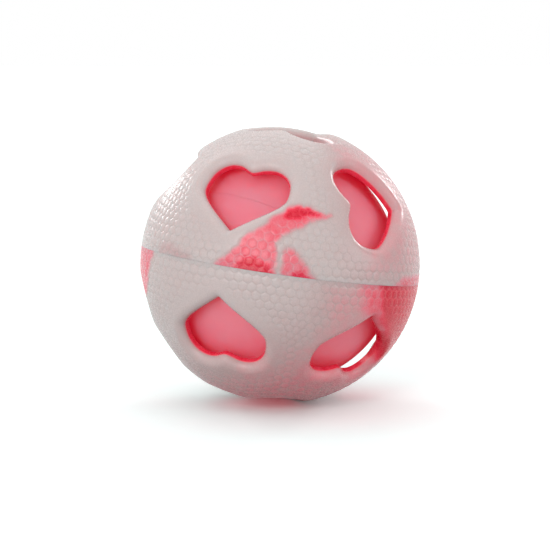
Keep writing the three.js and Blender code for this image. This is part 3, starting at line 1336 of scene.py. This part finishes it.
class GrainGroup:
    """Shared node group: soft clouds and fine grain by place on the piece."""

    NAME = "moulded_grain"
    CLOUD_SHARE = 0.3

    @classmethod
    def tree(cls) -> bpy.types.NodeTree:
        """The group, built on first use.

        Returns:
            Node tree with inputs Cloud Scale and Grain Scale, outputs Cloud, Grain and Height.
        """
        found = bpy.data.node_groups.get(cls.NAME)
        if found is not None:
            return found
        tree = bpy.data.node_groups.new(cls.NAME, "ShaderNodeTree")
        for name, value in (("Cloud Scale", 60.0), ("Grain Scale", 2500.0)):
            socket = tree.interface.new_socket(name, in_out="INPUT", socket_type="NodeSocketFloat")
            socket.default_value = value
        for name in ("Cloud", "Grain", "Height"):
            tree.interface.new_socket(name, in_out="OUTPUT", socket_type="NodeSocketFloat")
        bench = NodeBench(tree)
        entry, leave = bench.add("NodeGroupInput"), bench.add("NodeGroupOutput")
        place = bench.add("ShaderNodeTexCoord")
        cloud = bench.add("ShaderNodeTexNoise", Detail=3.0, Roughness=0.55)
        grain = bench.add("ShaderNodeTexNoise", Detail=2.0, Roughness=0.6)
        for noise, name in ((cloud, "Cloud Scale"), (grain, "Grain Scale")):
            bench.join(place.outputs["Object"], noise.inputs["Vector"])
            bench.join(entry.outputs[name], noise.inputs["Scale"])
        bench.join(cloud.outputs["Fac"], leave.inputs["Cloud"])
        bench.join(grain.outputs["Fac"], leave.inputs["Grain"])
        swell = bench.math("MULTIPLY", cloud.outputs["Fac"], cls.CLOUD_SHARE)
        bench.join(bench.math("ADD", swell, grain.outputs["Fac"]), leave.inputs["Height"])
        return tree


class CellGroup:
    """Shared node group: raised hexagon cells with thin grooves, by place in their lattice."""

    NAME = "hexagon_cells"
    TALL = math.sqrt(3) / 2
    GROOVE = 0.15

    # Places of the two vectors and of the picked one among a Mix node's sockets
    PICK_INPUTS = (4, 5)
    PICK_RESULT = 1

    @classmethod
    def tree(cls) -> bpy.types.NodeTree:
        """The group, built on first use.

        The three weights are laid out flat with neighbouring cells 1 apart. The cells' centres make two
        oblong grids, and the nearer of the two is the centre of the cell. The groove lies where the
        largest step towards a neighbour is half of the way.

        Returns:
            Node tree with inputs Lattice and Groove, output Height: 0 in a groove, 1 on a cell.
        """
        found = bpy.data.node_groups.get(cls.NAME)
        if found is not None:
            return found
        tree = bpy.data.node_groups.new(cls.NAME, "ShaderNodeTree")
        tree.interface.new_socket("Lattice", in_out="INPUT", socket_type="NodeSocketVector")
        groove = tree.interface.new_socket("Groove", in_out="INPUT", socket_type="NodeSocketFloat")
        groove.default_value = cls.GROOVE
        tree.interface.new_socket("Height", in_out="OUTPUT", socket_type="NodeSocketFloat")
        bench = NodeBench(tree)
        entry, leave = bench.add("NodeGroupInput"), bench.add("NodeGroupOutput")
        flat = bench.add("ShaderNodeCombineXYZ")
        third = cls.TALL / 3
        for socket, weights in zip(flat.inputs, ((0.5, -0.5, 0.0), (third, third, -2 * third))):
            along = bench.vector("DOT_PRODUCT", entry.outputs["Lattice"], weights, result="Value")
            bench.join(along, socket)
        most = (0.5, cls.TALL, 1.0)
        least = tuple(-side for side in most)
        near = bench.vector("WRAP", flat.outputs[0], most, least)
        shifted = bench.vector("ADD", flat.outputs[0], (0.5, cls.TALL, 0.0))
        other = bench.vector("WRAP", shifted, most, least)
        lengths = [bench.vector("LENGTH", each, result="Value") for each in (near, other)]
        pick = bench.add("ShaderNodeMix", data_type="VECTOR")
        bench.join(bench.math("LESS_THAN", *lengths), pick.inputs["Factor"])
        for place, offset in zip(cls.PICK_INPUTS, (other, near)):
            bench.join(offset, pick.inputs[place])
        step = bench.vector("ABSOLUTE", pick.outputs[cls.PICK_RESULT])
        level = bench.vector("DOT_PRODUCT", step, (1.0, 0.0, 0.0), result="Value")
        slanted = bench.vector("DOT_PRODUCT", step, (0.5, cls.TALL, 0.0), result="Value")
        edge = bench.math("SUBTRACT", 0.5, bench.math("MAXIMUM", level, slanted))
        climb = bench.add("ShaderNodeMapRange", interpolation_type="SMOOTHSTEP")
        bench.join(edge, climb.inputs["Value"])
        bench.join(entry.outputs["Groove"], climb.inputs["From Max"])
        bench.join(climb.outputs["Result"], leave.inputs["Height"])
        return tree


@dataclass(frozen=True)
class Finish:
    """What every finish shares: a name, a gloss, the scale of its grain and how light spreads in it."""

    name: str
    roughness: float
    specular: float
    cloud_scale: float
    grain_scale: float
    grain_depth: float
    bump_strength: float = 0.35
    gloss_sway: float = 0.22
    scatter: float = 0.0
    scatter_radius: tuple[float, float, float] = (1.0, 0.2, 0.1)
    scatter_scale: float = 0.05

    def start(self) -> tuple[bpy.types.Material, NodeBench, dict[str, bpy.types.Node]]:
        """Makes the material with its shader and its grain group.

        Returns:
            The material, its bench, and its nodes by the names shader, grain and bump.
        """
        material = bpy.data.materials.new(self.name)
        material.use_nodes = True
        bench = NodeBench(material.node_tree)
        shader = material.node_tree.nodes["Principled BSDF"]
        shader.inputs["Specular IOR Level"].default_value = self.specular
        shader.inputs["Subsurface Weight"].default_value = self.scatter
        shader.inputs["Subsurface Radius"].default_value = self.scatter_radius
        shader.inputs["Subsurface Scale"].default_value = self.scatter_scale
        grain = bench.add("ShaderNodeGroup", node_tree=GrainGroup.tree())
        grain.inputs["Cloud Scale"].default_value = self.cloud_scale
        grain.inputs["Grain Scale"].default_value = self.grain_scale
        bump = bench.add("ShaderNodeBump", Strength=self.bump_strength, Distance=self.grain_depth)
        bench.join(grain.outputs["Height"], bump.inputs["Height"])
        bench.join(bump.outputs["Normal"], shader.inputs["Normal"])
        uneven = bench.math("SUBTRACT", grain.outputs["Grain"], 0.5)
        gloss = bench.math("MULTIPLY", uneven, self.gloss_sway)
        bench.join(bench.math("ADD", gloss, self.roughness, clamp=True), shader.inputs["Roughness"])
        return material, bench, {"shader": shader, "grain": grain, "bump": bump}

    def mottled(self, pattern: Pattern, first: Colour, second: Colour) -> bpy.types.Material:
        """Makes the material in two colours that a pattern mixes.

        Args:
            pattern: the pattern of the grain group.
            first: colour where the pattern is low.
            second: colour where it is high.

        Returns:
            The material.
        """
        material, bench, nodes = self.start()
        colour = bench.mix(nodes["grain"].outputs[pattern.value], first, second)
        bench.join(colour, nodes["shader"].inputs["Base Color"])
        return material

    def material(self) -> bpy.types.Material:
        """The finish as a material, made once."""
        return bpy.data.materials.get(self.name) or self.make()

    def make(self) -> bpy.types.Material:
        """Makes the material; each finish has its own way."""
        raise NotImplementedError


@dataclass(frozen=True)
class MarbledRubber(Finish):
    """Pale rubber with red pigment swirled through it and hexagon cells raised on its outside."""

    pale: Colour = srgb(212, 198, 196)
    hazy: Colour = srgb(208, 182, 181)
    pink: Colour = srgb(242, 138, 150)
    salmon: Colour = srgb(250, 68, 94)
    red: Colour = srgb(226, 8, 50)
    # Painted shade: the dull red that darkens the grooves
    groove_painted_shade: Colour = srgb(150, 96, 96)
    groove_depth: float = 0.00006
    groove_width: float = 0.16
    groove_shade_share: float = 0.04
    # Painted highlight: how far the pigment is paled along the grooves
    groove_painted_highlight: float = 0.2
    swirl_sway: float = 0.8
    stops: tuple[float, ...] = (0.14, 0.4, 0.68)
    scatter: float = 0.6
    scatter_radius: tuple[float, float, float] = (1.0, 0.6, 0.55)
    scatter_scale: float = 0.003

    def cells(self, bench: NodeBench, bump: bpy.types.Node) -> bpy.types.NodeSocket:
        """Adds the cells to the material's bump and returns the depth of the grooves.

        Args:
            bench: the material's bench.
            bump: the bump node of the grain, which takes the cells' normal.

        Returns:
            Socket with 1 in a groove and 0 on a cell or on a plain margin.
        """
        lattice = bench.add("ShaderNodeAttribute", attribute_name="lattice")
        figured = bench.add("ShaderNodeAttribute", attribute_name="figured")
        cells = bench.add("ShaderNodeGroup", node_tree=CellGroup.tree())
        cells.inputs["Groove"].default_value = self.groove_width
        bench.join(lattice.outputs["Vector"], cells.inputs["Lattice"])
        lowered = bench.math("SUBTRACT", 1.0, cells.outputs["Height"])
        groove = bench.math("MULTIPLY", lowered, figured.outputs["Fac"])
        sunk = bench.add("ShaderNodeBump", invert=True, Strength=1.0, Distance=self.groove_depth)
        bench.join(groove, sunk.inputs["Height"])
        bench.join(sunk.outputs["Normal"], bump.inputs["Normal"])
        return groove

    def make(self) -> bpy.types.Material:
        """Colour by the pigment held at the vertices, broken up by clouds, with painted shade that darkens
        the grooves and a painted highlight that pales the pigment along them.

        Returns:
            The material.
        """
        material, bench, nodes = self.start()
        # The pigment value also carries painted red light in the throats and painted reddish shade in the
        # broad hazes
        pigment = bench.add("ShaderNodeAttribute", attribute_name="pigment").outputs["Fac"]
        groove = self.cells(bench, nodes["bump"])
        ragged = bench.math("SUBTRACT", nodes["grain"].outputs["Cloud"], 0.5)
        sway = bench.math("MULTIPLY", ragged, bench.math("MULTIPLY", pigment, self.swirl_sway))
        swirl = bench.math("ADD", pigment, sway, clamp=True)
        # Painted highlight: the pigment is paled along the grooves, for light caught by the cells' rims
        kept = bench.math("SUBTRACT", 1.0, bench.math("MULTIPLY", groove, self.groove_painted_highlight))
        ramp = bench.add("ShaderNodeValToRGB")
        stops = ramp.color_ramp.elements
        for stop, colour in zip(stops, (self.pale, self.red)):
            stop.color = colour
        for position, colour in zip(self.stops, (self.hazy, self.pink, self.salmon)):
            stops.new(position).color = colour
        bench.join(bench.math("MULTIPLY", swirl, kept), ramp.inputs["Fac"])
        # Painted shade: the grooves are darkened towards a dull red
        painted_groove_shade = bench.math("MULTIPLY", groove, self.groove_shade_share)
        colour = bench.mix(painted_groove_shade, ramp.outputs["Color"], self.groove_painted_shade)
        bench.join(colour, nodes["shader"].inputs["Base Color"])
        return material


@dataclass(frozen=True)
class SatinVinyl(Finish):
    """Soft pink-red vinyl with a broad satin gloss; red light spreads far inside it."""

    deep: Colour = srgb(214, 118, 136)
    light: Colour = srgb(226, 154, 168)
    # Painted glow: red emission for light scattered through the vinyl into its shade
    painted_glow: Colour = srgb(255, 16, 66)
    painted_glow_strength: float = 0.16
    scatter: float = 1.0
    scatter_radius: tuple[float, float, float] = (1.0, 0.08, 0.1)
    scatter_scale: float = 0.012

    def make(self) -> bpy.types.Material:
        """Two close reds in soft clouds, with a weak painted glow: red emission that stands in for light
        scattered through the vinyl into its shade.

        Returns:
            The material.
        """
        material = self.mottled(Pattern.CLOUD, self.deep, self.light)
        shader = material.node_tree.nodes["Principled BSDF"]
        # Painted glow: the vinyl glows weakly red, though it is no lamp
        shader.inputs["Emission Color"].default_value = self.painted_glow
        shader.inputs["Emission Strength"].default_value = self.painted_glow_strength
        return material


@dataclass(frozen=True)
class WhiteMoulding(Finish):
    """Plain white plastic, a little yellowed in clouds."""

    white: Colour = srgb(243, 241, 236)
    cream: Colour = srgb(233, 228, 216)

    def make(self) -> bpy.types.Material:
        """White and cream in soft clouds."""
        return self.mottled(Pattern.CLOUD, self.white, self.cream)


@dataclass(frozen=True)
class ReedFilm(Finish):
    """Pale film of the reed, shown opaque."""

    film: Colour = srgb(222, 224, 206)
    mark: Colour = srgb(205, 206, 184)

    def make(self) -> bpy.types.Material:
        """Two pale tones in a rolled grain."""
        return self.mottled(Pattern.GRAIN, self.film, self.mark)


@dataclass(frozen=True)
class Lamp:
    """A square soft lamp: its name, its place and side in metres, and its power in watts."""

    name: str
    place: Place
    side: float
    watts: float

    def hang(self, target: Vector) -> None:
        """Hangs the lamp in its place.

        Args:
            target: the point that it is turned to.
        """
        data = bpy.data.lights.new(self.name, "AREA")
        data.shape = "SQUARE"
        data.size = self.side
        data.energy = self.watts
        lamp = bpy.data.objects.new(self.name, data)
        lamp.location = self.place
        lamp.rotation_euler = (target - Vector(self.place)).to_track_quat("-Z", "Y").to_euler()
        bpy.context.scene.collection.objects.link(lamp)


LAMPS = (
    Lamp("overhead_lamp", (0.0, 0.05, 0.9), 1.8, 2.4),
    Lamp("back_lamp", (-0.15, 0.7, 0.95), 1.0, 2.2),
    Lamp("left_rim_lamp", (-0.65, 0.75, 0.35), 0.22, 1.5),
    Lamp("right_rim_lamp", (0.65, 0.75, 0.35), 0.22, 1.9),
    Lamp("left_lamp", (-0.9, -0.6, 0.1), 0.6, 1.8),
    Lamp("right_lamp", (0.95, -0.35, 0.12), 0.6, 3.2),
    Lamp("front_lamp", (-0.5, -1.15, 0.45), 0.6, 6.0),
)


@dataclass(frozen=True)
class Studio:
    """White table, soft lamps and the camera of the photograph, in metres and degrees."""

    ball_centre: Vector
    ball_radius: float
    image_side: int = 550
    ball_image_x: float = 280.05
    ball_image_y: float = 263.85
    ball_image_radius: float = 140.2
    camera_elevation: float = 10.0
    camera_distance_in_radii: float = 30.0
    sensor: float = 36.0
    clip_end: float = 20.0
    table_side: float = 1.6
    table_unseen: Colour = (0.42, 0.42, 0.42, 1.0)
    table_seen: Colour = (1.22, 1.34, 1.33, 1.0)
    room_light: float = 0.44
    room_colour: Colour = (1.0, 1.0, 1.0, 1.0)

    def camera(self) -> None:
        """A long lens at the photograph's height, shifted to put the ball where the photograph has it."""
        rise = math.radians(self.camera_elevation)
        back = Vector((0.0, -math.cos(rise), math.sin(rise)))
        data = bpy.data.cameras.new("photo_camera")
        distance = self.camera_distance_in_radii
        focal_pixels = self.ball_image_radius * math.sqrt(distance**2 - 1)
        data.sensor_width = self.sensor
        data.lens = focal_pixels / self.image_side * self.sensor
        data.shift_x = (self.image_side / 2 - self.ball_image_x) / self.image_side
        data.shift_y = (self.ball_image_y - self.image_side / 2) / self.image_side
        data.clip_end = self.clip_end
        camera = bpy.data.objects.new("photo_camera", data)
        camera.location = self.ball_centre + back * (distance * self.ball_radius)
        camera.rotation_euler = (-back).to_track_quat("-Z", "Y").to_euler()
        bpy.context.scene.collection.objects.link(camera)
        bpy.context.scene.camera = camera

    def table(self) -> None:
        """A table that is white to the camera, keeps the ball's shadow and lights the ball less."""
        half = self.table_side / 2
        corners = [(-half, -half, 0.0), (half, -half, 0.0), (half, half, 0.0), (-half, half, 0.0)]
        mesh = bpy.data.meshes.new("table_top")
        mesh.from_pydata(corners, [], [(0, 1, 2, 3)])
        table = bpy.data.objects.new("table_top", mesh)
        bpy.context.scene.collection.objects.link(table)
        material = bpy.data.materials.new("white_table")
        material.use_nodes = True
        tree = material.node_tree
        bench = NodeBench(tree)
        tree.nodes.remove(tree.nodes["Principled BSDF"])
        lit = bench.add("ShaderNodeBsdfDiffuse")
        bench.join(bench.mix(self.seen(bench), self.table_unseen, self.table_seen), lit.inputs["Color"])
        bench.join(lit.outputs[0], tree.nodes["Material Output"].inputs["Surface"])
        table.data.materials.append(material)

    def seen(self, bench: NodeBench) -> bpy.types.NodeSocket:
        """Whether a surface is seen by the camera, directly, in a reflection or through glass.

        Args:
            bench: the bench of the surface's material or of the world.

        Returns:
            Socket with 1 where it is seen and 0 where it only throws light.
        """
        path = bench.add("ShaderNodeLightPath")
        mirrored = bench.math("MAXIMUM", path.outputs["Is Glossy Ray"], path.outputs["Is Transmission Ray"])
        return bench.math("MAXIMUM", path.outputs["Is Camera Ray"], mirrored)

    def sky(self) -> None:
        """Even light all round; white to the camera and in reflections."""
        world = bpy.data.worlds.new("white_room")
        bpy.context.scene.world = world
        world.use_nodes = True
        tree = world.node_tree
        bench = NodeBench(tree)
        shown = bench.math("MULTIPLY", self.seen(bench), 1.0 - self.room_light)
        background = tree.nodes["Background"]
        bench.join(bench.math("ADD", shown, self.room_light), background.inputs["Strength"])
        background.inputs["Color"].default_value = self.room_colour

    def build(self) -> None:
        """Sets the camera, the table, the light all round, the lamps and the view."""
        self.camera()
        self.table()
        self.sky()
        for lamp in LAMPS:
            lamp.hang(self.ball_centre)
        bpy.context.scene.view_settings.view_transform = "Standard"


def main() -> None:
    """Builds the studio, the shell, the inner ball and the squeaker."""
    logging.basicConfig(level=logging.INFO, format="%(name)s: %(message)s")
    spin = next(joint for joint in frame["joints"] if joint["name"] == "inner_ball_spin")
    inner_centre = np.array(spin["pos_m"]) / MM
    shell_centre = inner_centre + [0.0, 0.0, INNER_DROP]
    halves = [ShellHalf(side, shell_centre) for side in HalfSide]
    Studio(Vector(shell_centre * MM), halves[0].diameter / 2 * MM).build()
    finishes = {
        Slot.RUBBER: MarbledRubber(
            name="marbled_rubber", roughness=0.27, specular=0.36,
            cloud_scale=330.0, grain_scale=2600.0, grain_depth=0.00004,
        ),
        Slot.VINYL: SatinVinyl(
            name="satin_vinyl", roughness=0.5, specular=0.5,
            cloud_scale=45.0, grain_scale=2400.0, grain_depth=0.00003,
        ),
        Slot.PLASTIC: WhiteMoulding(
            name="white_moulding", roughness=0.42, specular=0.5,
            cloud_scale=120.0, grain_scale=3000.0, grain_depth=0.00003,
        ),
        Slot.FILM: ReedFilm(
            name="reed_film", roughness=0.35, specular=0.5,
            cloud_scale=200.0, grain_scale=4000.0, grain_depth=0.00002,
        ),
    }
    for half in halves:
        piece = half.build()
        half.dress(piece, finishes[Slot.RUBBER])
        LOG.info("%s: %d faces", piece.name, len(piece.data.polygons))
    ball = InnerBall(inner_centre)
    pieces = ball.build()
    ball.dress(pieces, finishes)
    for piece, _ in pieces:
        LOG.info("%s: %d faces", piece.name, len(piece.data.polygons))


if __name__ == "__main__":
    main()
